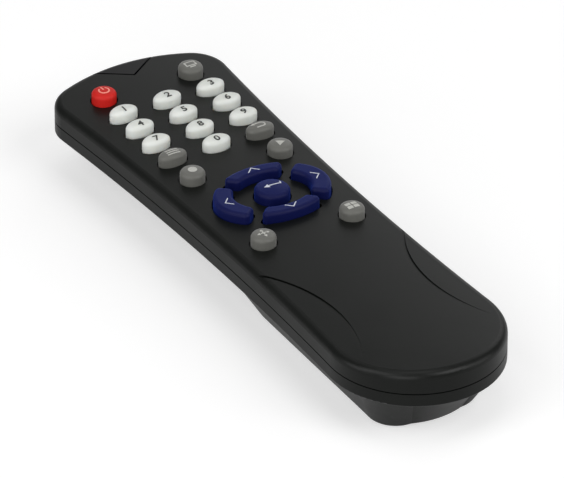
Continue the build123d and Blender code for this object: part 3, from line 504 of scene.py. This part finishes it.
class SignDrawing:
    """A flat sign drawn with mesh operators on the plane z = 0, in millimetres about the origin."""

    ROUND_CORNERS = 40
    SQUARE_CORNERS = 4
    TRIANGLE_CORNERS = 3

    def __init__(self, name: str) -> None:
        """Start an empty mesh in edit mode.

        Args:
            name: The piece's name.
        """
        deselect_all()
        bpy.ops.object.add(type="MESH")
        self.piece = bpy.context.object
        self.piece.name = name
        bpy.ops.object.mode_set(mode="EDIT")

    def bar(self, x: float, y: float, width: float, height: float) -> None:
        """Add a straight stroke.

        Args:
            x: Its middle, to the right.
            y: Its middle, up.
            width: Its size to the right.
            height: Its size up.
        """
        bpy.ops.mesh.primitive_plane_add(size=MM, location=(x * MM, y * MM, 0))
        bpy.ops.transform.resize(value=(width, height, 1), center_override=(x * MM, y * MM, 0))

    def disc(
        self, x: float, y: float, radius: float, corners: int = ROUND_CORNERS, turn: float = 0.0
    ) -> None:
        """Add a filled disc, or a regular polygon where it has few corners.

        Args:
            x: Its middle, to the right.
            y: Its middle, up.
            radius: Its radius.
            corners: How many corners it has.
            turn: How far it is turned, in degrees.
        """
        bpy.ops.mesh.primitive_circle_add(
            vertices=corners,
            radius=radius * MM,
            fill_type="NGON",
            location=(x * MM, y * MM, 0),
            rotation=(0, 0, math.radians(turn)),
        )

    def tip(self, x: float, y: float, radius: float, pointing: Pointing) -> None:
        """Add a triangle that points one way."""
        self.disc(x, y, radius, self.TRIANGLE_CORNERS, pointing.value)

    def hollow(self, stroke: float) -> None:
        """Leave only a rim of the shape added last, as wide as a stroke."""
        bpy.ops.mesh.inset(thickness=stroke * MM, use_even_offset=True)
        bpy.ops.mesh.delete(type="FACE")

    def cut_away(self, low: tuple[float, float], high: tuple[float, float]) -> None:
        """Delete the faces whose middles lie in a box.

        Args:
            low: The box's lowest corner.
            high: The box's highest corner.
        """
        bpy.ops.mesh.select_all(action="DESELECT")
        mesh = bmesh.from_edit_mesh(self.piece.data)
        for face in mesh.faces:
            middle = face.calc_center_median() / MM
            face.select_set(low[0] <= middle.x <= high[0] and low[1] <= middle.y <= high[1])
        bmesh.update_edit_mesh(self.piece.data)
        bpy.ops.mesh.delete(type="FACE")

    def finish(self, turn: float) -> bpy.types.Object:
        """Turn the sign about the origin and leave edit mode.

        Args:
            turn: The turn in degrees.

        Returns:
            The flat sign.
        """
        bpy.ops.object.mode_set(mode="OBJECT")
        self.piece.rotation_euler = (0, 0, math.radians(turn))
        choose(self.piece)
        bpy.ops.object.transform_apply(location=True, rotation=True, scale=True)
        return self.piece


@dataclass(frozen=True)
class SignShape:
    """A sign's shape, with its sizes in millimetres."""

    stroke: float = 0.36

    def draw(self, drawing: SignDrawing) -> None:
        """Draw the sign about the origin."""
        raise NotImplementedError


@dataclass(frozen=True)
class PowerShape(SignShape):
    """A ring that is open at the top, with a bar in its gap."""

    stroke: float = 0.432
    radius: float = 1.5
    gap_half: float = 0.7
    gap_from: float = 0.5
    gap_to: float = 1.8
    bar_middle: float = 1.0
    bar_length: float = 1.6

    def draw(self, drawing: SignDrawing) -> None:
        """Draw the sign about the origin.

        Args:
            drawing: The drawing to add to.
        """
        drawing.disc(0, 0, self.radius)
        drawing.hollow(self.stroke)
        drawing.cut_away((-self.gap_half, self.gap_from), (self.gap_half, self.gap_to))
        drawing.bar(0, self.bar_middle, self.stroke, self.bar_length)


@dataclass(frozen=True)
class ScreenShape(SignShape):
    """A screen on a foot."""

    width: float = 3.0
    height: float = 2.0
    middle: float = 0.2
    foot_width: float = 1.6
    foot_middle: float = -1.25

    def draw(self, drawing: SignDrawing) -> None:
        """Draw the sign about the origin.

        Args:
            drawing: The drawing to add to.
        """
        drawing.bar(0, self.middle, self.width, self.height)
        drawing.hollow(self.stroke)
        drawing.bar(0, self.foot_middle, self.foot_width, self.stroke)


@dataclass(frozen=True)
class ListShape(SignShape):
    """Three lines, one above the other."""

    width: float = 3.4
    pitch: float = 0.85

    def draw(self, drawing: SignDrawing) -> None:
        """Draw the sign about the origin."""
        for row in (-1, 0, 1):
            drawing.bar(0, row * self.pitch, self.width, self.stroke)


@dataclass(frozen=True)
class BackShape(SignShape):
    """An arrow that turns back to the left."""

    bend_middle: float = 0.55
    bend_radius: float = 1.0
    cut_low: tuple[float, float] = (-1.0, -2.0)
    cut_high: tuple[float, float] = (0.45, 2.0)
    line_middle: float = -0.4
    line_length: float = 1.6
    line_rise: float = 0.82
    tip_middle: float = -1.55
    tip_radius: float = 0.62

    def draw(self, drawing: SignDrawing) -> None:
        """Draw the sign about the origin.

        Args:
            drawing: The drawing to add to.
        """
        drawing.disc(self.bend_middle, 0, self.bend_radius)
        drawing.hollow(self.stroke)
        drawing.cut_away(self.cut_low, self.cut_high)
        drawing.bar(self.line_middle, self.line_rise, self.line_length, self.stroke)
        drawing.bar(self.line_middle, -self.line_rise, self.line_length, self.stroke)
        drawing.tip(self.tip_middle, self.line_rise, self.tip_radius, Pointing.LEFT)


@dataclass(frozen=True)
class DotShape(SignShape):
    """A filled dot."""

    radius: float = 1.15

    def draw(self, drawing: SignDrawing) -> None:
        """Draw the sign about the origin."""
        drawing.disc(0, 0, self.radius)


@dataclass(frozen=True)
class PlayShape(SignShape):
    """A triangle that points to the right."""

    radius: float = 1.4

    def draw(self, drawing: SignDrawing) -> None:
        """Draw the sign about the origin."""
        drawing.tip(0, 0, self.radius, Pointing.RIGHT)


@dataclass(frozen=True)
class FourWayShape(SignShape):
    """A cross with a tip at each of its four ends."""

    across_length: float = 1.5
    arm_middle: float = 0.48
    arm_length: float = 0.58
    tip_reach: float = 1.2
    tip_radius: float = 0.55

    def draw(self, drawing: SignDrawing) -> None:
        """Draw the sign about the origin.

        Args:
            drawing: The drawing to add to.
        """
        drawing.bar(0, 0, self.across_length, self.stroke)
        for side, across, along in ((-1, Pointing.LEFT, Pointing.DOWN), (1, Pointing.RIGHT, Pointing.UP)):
            drawing.bar(0, side * self.arm_middle, self.stroke, self.arm_length)
            drawing.tip(side * self.tip_reach, 0, self.tip_radius, across)
            drawing.tip(0, side * self.tip_reach, self.tip_radius, along)


@dataclass(frozen=True)
class GridShape(SignShape):
    """Four panes, two by two."""

    pane_width: float = 1.4
    pane_height: float = 1.1
    shift_x: float = 0.85
    shift_y: float = 0.7

    def draw(self, drawing: SignDrawing) -> None:
        """Draw the sign about the origin.

        Args:
            drawing: The drawing to add to.
        """
        for across in (-1, 1):
            for along in (-1, 1):
                drawing.bar(across * self.shift_x, along * self.shift_y, self.pane_width, self.pane_height)


@dataclass(frozen=True)
class ChevronShape(SignShape):
    """The upper half of a hollow square that stands on its corner."""

    stroke: float = 0.2592
    radius: float = 1.75
    cut_low: tuple[float, float] = (-2.0, -2.0)
    cut_high: tuple[float, float] = (2.0, 0.0)

    def draw(self, drawing: SignDrawing) -> None:
        """Draw the sign about the origin.

        Args:
            drawing: The drawing to add to.
        """
        drawing.disc(0, 0, self.radius, drawing.SQUARE_CORNERS)
        drawing.hollow(self.stroke)
        drawing.cut_away(self.cut_low, self.cut_high)


@dataclass(frozen=True)
class EnterShape(SignShape):
    """An arrow to the left that starts with a short hook."""

    length: float = 5.0
    hook_height: float = 0.72
    line_middle: float = 0.35
    line_short: float = 1.1
    tip_inset: float = 0.85
    tip_radius: float = 0.9

    def draw(self, drawing: SignDrawing) -> None:
        """Draw the sign about the origin.

        Args:
            drawing: The drawing to add to.
        """
        half = self.length / 2
        hook_middle = (self.hook_height + self.stroke) / 2
        drawing.bar(self.line_middle, 0, self.length - self.line_short, self.stroke)
        drawing.bar(half - self.stroke / 2, hook_middle, self.stroke, self.hook_height)
        drawing.tip(self.tip_inset - half, 0, self.tip_radius, Pointing.LEFT)


class Sign(Enum):
    """The signs that the keys carry. None of them is a word."""

    DIGIT = auto()
    POWER = auto()
    SCREEN = auto()
    LIST = auto()
    BACK = auto()
    DOT = auto()
    PLAY = auto()
    FOUR_WAY = auto()
    GRID = auto()
    CHEVRON = auto()
    ENTER = auto()


class Ink(Enum):
    """The inks that the signs are printed with."""

    DARK = auto()
    LIGHT = auto()
    BRIGHT = auto()
    PINK = auto()


SHAPES: dict[Sign, SignShape] = {
    Sign.POWER: PowerShape(),
    Sign.SCREEN: ScreenShape(),
    Sign.LIST: ListShape(),
    Sign.BACK: BackShape(),
    Sign.DOT: DotShape(),
    Sign.PLAY: PlayShape(),
    Sign.FOUR_WAY: FourWayShape(),
    Sign.GRID: GridShape(),
    Sign.CHEVRON: ChevronShape(),
    Sign.ENTER: EnterShape(),
}


@dataclass(frozen=True)
class KeySign:
    """One sign and where it sits on its key."""

    node: str
    sign: Sign
    ink: Ink
    text: str = ""
    turn: float = 0.0
    shift_x: float = 0.0
    shift_y: float = 0.0


@dataclass
class KeySigns:
    """The pad-printed signs on the keys' tops, with their sizes in millimetres."""

    inks: dict[Ink, bpy.types.Material]
    digits: str = "0123456789"
    digit_height: float = 2.1
    digit_weight: float = 0.065
    digit_shift_x: float = -0.1
    digit_shift_y: float = -0.5
    digit_share: float = 0.7
    digit_steps: int = 6
    enter_shift_x: float = 0.5
    enter_shift_y: float = 0.45
    chevron_reach: float = 11.7
    chevron_rise: float = 8.65
    start_above: float = 1.0
    cuts: int = 2
    ink_above: float = 0.03
    ink_below: float = 0.03
    smooth_below: float = 40.0

    def list_signs(self) -> list[KeySign]:
        """List every sign with its key.

        Returns:
            The signs, digits first.
        """
        digit_place = {"shift_x": self.digit_shift_x, "shift_y": self.digit_shift_y}
        signs = [
            KeySign(f"key_{digit}", Sign.DIGIT, Ink.DARK, text=digit, **digit_place) for digit in self.digits
        ]
        signs += [
            KeySign("key_power", Sign.POWER, Ink.PINK),
            KeySign("key_top_right", Sign.SCREEN, Ink.LIGHT),
            KeySign("key_menu", Sign.LIST, Ink.LIGHT),
            KeySign("key_exit", Sign.BACK, Ink.LIGHT),
            KeySign("key_record", Sign.DOT, Ink.LIGHT),
            KeySign("key_play", Sign.PLAY, Ink.LIGHT),
            KeySign("key_low_left", Sign.FOUR_WAY, Ink.LIGHT),
            KeySign("key_low_right", Sign.GRID, Ink.LIGHT),
            KeySign(
                "key_enter", Sign.ENTER, Ink.BRIGHT, shift_x=self.enter_shift_x, shift_y=self.enter_shift_y
            ),
        ]
        for name, turn, across, along in (
            ("key_up", 0, 0, self.chevron_rise),
            ("key_left", 90, -self.chevron_reach, 0),
            ("key_down", 180, 0, -self.chevron_rise),
            ("key_right", 270, self.chevron_reach, 0),
        ):
            signs.append(KeySign(name, Sign.CHEVRON, Ink.BRIGHT, turn=turn, shift_x=across, shift_y=along))
        return signs

    def draw_digit(self, name: str, text: str) -> bpy.types.Object:
        """Draw a digit as a mesh.

        Args:
            name: The piece's name.
            text: The digit.

        Returns:
            The flat digit, with its middle at the origin.
        """
        deselect_all()
        bpy.ops.object.text_add()
        letter = bpy.context.object
        letter.data.body = text
        letter.data.size = self.digit_height * MM / self.digit_share
        letter.data.offset = self.digit_weight * MM
        letter.data.resolution_u = self.digit_steps
        bpy.ops.object.convert(target="MESH")
        letter.name = name
        bpy.ops.object.origin_set(type="ORIGIN_GEOMETRY", center="BOUNDS")
        letter.location = (0, 0, 0)
        letter.scale = (1.0, self.digit_height * MM / letter.dimensions.y, 1.0)
        bpy.ops.object.transform_apply(location=True, rotation=True, scale=True)
        return letter

    def draw(self, key: KeySign) -> bpy.types.Object:
        """Draw one sign flat, about the origin.

        Args:
            key: The sign and its key.

        Returns:
            The flat sign.
        """
        name = f"print_{key.node}"
        if key.sign is Sign.DIGIT:
            return self.draw_digit(name, key.text)
        drawing = SignDrawing(name)
        SHAPES[key.sign].draw(drawing)
        return drawing.finish(key.turn)

    def press_on(self, piece: bpy.types.Object, key: KeySign) -> None:
        """Lay a flat sign on its key's top and give the ink its thickness.

        Args:
            piece: The flat sign about the origin.
            key: The sign and its key.
        """
        is_ring = key.sign is Sign.CHEVRON
        middle = node_middle("key_enter" if is_ring else key.node)
        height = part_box(key.node)[1][2] + self.start_above * MM
        choose(piece)
        piece.location = (middle.x + key.shift_x * MM, middle.y + key.shift_y * MM, height)
        bpy.ops.object.transform_apply(location=True, rotation=True, scale=True)
        bpy.ops.object.mode_set(mode="EDIT")
        bpy.ops.mesh.select_all(action="SELECT")
        bpy.ops.mesh.quads_convert_to_tris()
        bpy.ops.mesh.subdivide(number_cuts=self.cuts)
        bpy.ops.object.mode_set(mode="OBJECT")
        wrap = piece.modifiers.new("lay", "SHRINKWRAP")
        wrap.target = frame["nodes"][key.node]
        wrap.wrap_method = "PROJECT"
        wrap.use_project_z = True
        wrap.use_negative_direction = True
        wrap.use_positive_direction = False
        bpy.ops.object.modifier_apply(modifier=wrap.name)
        thickness = self.ink_above + self.ink_below
        film = piece.modifiers.new("film", "SOLIDIFY")
        film.thickness = thickness * MM
        film.offset = (self.ink_above - self.ink_below) / thickness
        bpy.ops.object.modifier_apply(modifier=film.name)
        bpy.ops.object.shade_smooth_by_angle(angle=math.radians(self.smooth_below))

    def build(self) -> None:
        """Draw every sign, lay it on its key, and let it ride there."""
        for key in self.list_signs():
            piece = self.draw(key)
            self.press_on(piece, key)
            piece.data.materials.clear()
            piece.data.materials.append(self.inks[key.ink])
            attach(piece, f"{key.node}_body")
            LOG.info("%s: %d faces of %s ink", piece.name, len(piece.data.polygons), key.ink.name.lower())


@dataclass
class Dressing:
    """The finishes of the CAD nodes, by the record's material slots or by a node's own name."""

    finishes: dict[str, bpy.types.Material]

    def dress(self) -> None:
        """Put each node's finish in its material slots."""
        slots = {row["node"]: row["material_slot"] for row in frame["record"]["subparts"]}
        for name, node in frame["nodes"].items():
            finish = self.finishes.get(name) or self.finishes[slots[name]]
            for place in node.material_slots:
                place.material = finish
            LOG.info("%s: finished in %s", name, finish.name)


def seen_share(tree: bpy.types.NodeTree, mirrored_share: float) -> bpy.types.NodeSocket:
    """Tell how much of a background's white a ray sees.

    Args:
        tree: The floor's or the sky's node tree.
        mirrored_share: The share that shows in a reflection.

    Returns:
        The socket: 1 for the camera's view, straight or through a clear piece, and 0 for plain lighting.
    """
    rays = tree.nodes.new("ShaderNodeLightPath")
    mirrored = tree.nodes.new("ShaderNodeMath")
    mirrored.operation = "MULTIPLY_ADD"
    mirrored.inputs[1].default_value = mirrored_share
    tree.links.new(rays.outputs["Is Glossy Ray"], mirrored.inputs[0])
    tree.links.new(rays.outputs["Is Camera Ray"], mirrored.inputs[2])
    total = tree.nodes.new("ShaderNodeMath")
    total.operation = "ADD"
    tree.links.new(mirrored.outputs[0], total.inputs[0])
    tree.links.new(rays.outputs["Is Transmission Ray"], total.inputs[1])
    return total.outputs[0]


@dataclass(frozen=True)
class Softbox:
    """A square lamp that faces the object: its direction in degrees, power in watts, and sizes in metres."""

    name: str
    azimuth: float
    elevation: float
    power: float
    size: float = 0.8
    distance: float = 1.4


@dataclass
class Studio:
    """A pale floor, soft lamps all round, and the camera that took the picture.

    The distances are in metres, but the aim and the gap under the object are in millimetres.
    """

    azimuth: float = -30.756
    elevation: float = 31.844
    distance: float = 1.7
    lens: float = 444.2
    sensor: float = 36.0
    clip_near: float = 0.1
    clip_far: float = 20.0
    aim_right: float = 2.377
    aim_down: float = 10.399
    floor_size: float = 6.0
    floor_gap: float = 0.05
    floor_paint: float = 0.66
    floor_glow: float = 0.5
    floor_mirrored: float = 0.3
    sky_glow: float = 1.0
    sky_light: float = 0.04
    sky_mirrored: float = 0.22
    softboxes: tuple[Softbox, ...] = (
        Softbox("softbox_top", 0, 89, 2.8),
        Softbox("softbox_front", 18, 42, 6.9),
        Softbox("softbox_front_left", -45, 18, 5.5),
        Softbox("softbox_front_right", 50, 18, 3.4),
        Softbox("softbox_left", -82, 46, 4.4),
        Softbox("softbox_left_low", -100, 18, 3.4),
        Softbox("softbox_back_right", 120, 34, 1.8),
        Softbox("softbox_back_low", 150, 18, 0.36, size=0.5, distance=0.75),
        Softbox("softbox_back", 180, 58, 0.8),
    )

    def place_camera(self) -> None:
        """Set the camera where the photograph was taken from, aimed beside the direction ring."""
        turn = math.radians(self.azimuth)
        right = Vector((math.cos(turn), math.sin(turn), 0))
        backward = direction(self.azimuth, self.elevation)
        up = backward.cross(right)
        middle = node_middle("key_enter")
        ring = Vector((middle.x, middle.y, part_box("top_shell")[1][2]))
        aim = ring + right * self.aim_right * MM - up * self.aim_down * MM
        spot = ring + backward * self.distance
        deselect_all()
        bpy.ops.object.camera_add(location=spot)
        camera = bpy.context.object
        camera.name = "camera"
        camera.rotation_mode = "QUATERNION"
        camera.rotation_quaternion = (aim - spot).to_track_quat("-Z", "Y")
        camera.data.lens = self.lens
        camera.data.sensor_width = self.sensor
        camera.data.clip_start = self.clip_near
        camera.data.clip_end = self.clip_far
        bpy.context.scene.camera = camera
        LOG.info("camera: %.0f mm lens at %.2f m", self.lens, self.distance)

    def lay_floor(self) -> None:
        """Lay a pale floor that keeps the object's shadow and looks white to the camera."""
        deselect_all()
        bpy.ops.mesh.primitive_plane_add(size=self.floor_size, location=(0, 0, -self.floor_gap * MM))
        floor = bpy.context.object
        floor.name = "floor"
        material = bpy.data.materials.new("floor_white")
        material.use_nodes = True
        tree = material.node_tree
        tree.nodes.clear()
        paint = tree.nodes.new("ShaderNodeBsdfDiffuse")
        paint.inputs["Color"].default_value = (self.floor_paint,) * 3 + (1,)
        glow = tree.nodes.new("ShaderNodeEmission")
        strength = tree.nodes.new("ShaderNodeMath")
        strength.operation = "MULTIPLY"
        strength.inputs[1].default_value = self.floor_glow
        both = tree.nodes.new("ShaderNodeAddShader")
        out = tree.nodes.new("ShaderNodeOutputMaterial")
        tree.links.new(seen_share(tree, self.floor_mirrored), strength.inputs[0])
        tree.links.new(strength.outputs[0], glow.inputs["Strength"])
        tree.links.new(paint.outputs[0], both.inputs[0])
        tree.links.new(glow.outputs[0], both.inputs[1])
        tree.links.new(both.outputs[0], out.inputs["Surface"])
        floor.data.materials.append(material)
        LOG.info("%s: %.1f m across", floor.name, self.floor_size)

    def light_sky(self) -> None:
        """Light the room evenly, and show white where the camera looks past the floor."""
        world = bpy.data.worlds.new("studio")
        bpy.context.scene.world = world
        world.use_nodes = True
        tree = world.node_tree
        tree.nodes.clear()
        room = tree.nodes.new("ShaderNodeBackground")
        room.inputs["Color"].default_value = WHITE
        room.inputs["Strength"].default_value = self.sky_light
        white = tree.nodes.new("ShaderNodeBackground")
        white.inputs["Color"].default_value = WHITE
        white.inputs["Strength"].default_value = self.sky_glow
        pick = tree.nodes.new("ShaderNodeMixShader")
        out = tree.nodes.new("ShaderNodeOutputWorld")
        tree.links.new(seen_share(tree, self.sky_mirrored), pick.inputs[0])
        tree.links.new(room.outputs[0], pick.inputs[1])
        tree.links.new(white.outputs[0], pick.inputs[2])
        tree.links.new(pick.outputs[0], out.inputs["Surface"])

    def hang(self, box: Softbox) -> None:
        """Hang one lamp.

        Args:
            box: The lamp's place, size and power.
        """
        towards = direction(box.azimuth, box.elevation)
        deselect_all()
        bpy.ops.object.light_add(type="AREA", location=towards * box.distance)
        lamp = bpy.context.object
        lamp.name = box.name
        lamp.rotation_mode = "QUATERNION"
        lamp.rotation_quaternion = (-towards).to_track_quat("-Z", "Y")
        lamp.data.shape = "SQUARE"
        lamp.data.size = box.size
        lamp.data.energy = box.power
        LOG.info("%s: %.2f W from %.2f m", lamp.name, box.power, box.distance)

    def build(self) -> None:
        """Set up the camera, the floor and the lamps."""
        bpy.context.scene.view_settings.view_transform = "Standard"
        self.place_camera()
        self.lay_floor()
        self.light_sky()
        for box in self.softboxes:
            self.hang(box)


@dataclass(frozen=True)
class CellEnds:
    """Where a cell's band starts and ends, as shares of its length, and its bare cap's length in metres."""

    band_from: float
    band_to: float
    cap: float


def make_jackets() -> dict[str, bpy.types.Material]:
    """Make the sleeves of the two battery cells, which lie opposite ways.

    Returns:
        The sleeves by node.
    """
    jackets = {}
    for name, ends in (
        ("battery_left", CellEnds(band_from=0.03, band_to=0.3, cap=0.0003)),
        ("battery_right", CellEnds(band_from=0.7, band_to=0.97, cap=0.0009)),
    ):
        low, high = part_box(name)
        start, length = low[1], high[1] - low[1]
        jackets[name] = CellJacket(
            name=f"jacket_{name}",
            body_colour=linear(24, 26, 30),
            band_colour=linear(176, 122, 58),
            metal_colour=linear(196, 196, 192),
            band_from=start + length * ends.band_from,
            band_to=start + length * ends.band_to,
            metal_beyond=high[1] - ends.cap,
        ).make()
    return jackets


def make_finishes() -> dict[str, bpy.types.Material]:
    """Make a finish for each of the record's material slots.

    Returns:
        The finished materials by slot, or by node where one node differs.
    """
    jackets = make_jackets()
    recipes = {
        "casing_black": MouldedPlastic("casing_plastic", linear(14, 16, 14), roughness=0.34, index=1.3),
        "window_black": MouldedPlastic(
            "window_plastic", linear(14, 14, 16), index=1.3, roughness=0.34, grain_depth=0.000006
        ),
        "key_white": Silicone("white_silicone", linear(232, 235, 229), glow_through=0.9, glow_depth=0.003),
        "key_grey": Silicone("grey_silicone", linear(102, 102, 97), roughness=0.42, index=1.4, bloom=0.3),
        "key_blue": Silicone(
            "blue_silicone", linear(11, 15, 64), index=1.24, bloom=0.3, bloom_colour=linear(70, 110, 255)
        ),
        "key_red": Silicone("red_silicone", linear(212, 36, 30), index=1.33),
        "sheet_grey": Silicone("sheet_silicone", linear(150, 150, 148)),
        "board_green": BoardLacquer("board_lacquer", linear(28, 92, 48), linear(64, 132, 70)),
        "carbon": MouldedPlastic("carbon_film", linear(38, 38, 38), roughness=0.7),
        "chip_black": MouldedPlastic("chip_epoxy", linear(36, 36, 38), roughness=0.6),
        "component_metal": Metal("tinned_metal", linear(205, 202, 190)),
        "capacitor_sleeve": MouldedPlastic("capacitor_sleeve", linear(26, 34, 92), roughness=0.3),
        "led_clear": MouldedPlastic("led_epoxy", linear(70, 78, 116), roughness=0.1, grain_depth=0.000002),
        "screw_steel": Metal("zinc_steel", linear(190, 190, 192), stretch=(1.0, 1.0, 1.0)),
        "cell_jacket": Metal("cell_metal", linear(196, 196, 192)),
        "contact_plating": Metal("nickel_plate", linear(205, 205, 198)),
    }
    finishes = {slot: recipe.make() for slot, recipe in recipes.items()}
    finishes.update(jackets)
    return finishes


def make_inks() -> dict[Ink, bpy.types.Material]:
    """Make the inks of the key signs.

    Returns:
        The materials by ink.
    """
    return {
        Ink.DARK: PadPrint("dark_ink", linear(46, 48, 46), linear(140, 142, 138)).make(),
        Ink.LIGHT: PadPrint("light_ink", linear(198, 198, 192), linear(140, 140, 134)).make(),
        Ink.BRIGHT: PadPrint("bright_ink", linear(222, 226, 236), linear(120, 124, 170)).make(),
        Ink.PINK: PadPrint("pink_ink", linear(255, 156, 140), linear(226, 80, 70)).make(),
    }


def main() -> None:
    """Set the stage, dress the CAD nodes, and print the signs."""
    logging.basicConfig(level=logging.INFO, format="%(name)s: %(message)s")
    Studio().build()
    Dressing(finishes=make_finishes()).dress()
    KeySigns(inks=make_inks()).build()


if __name__ == "__main__":
    main()
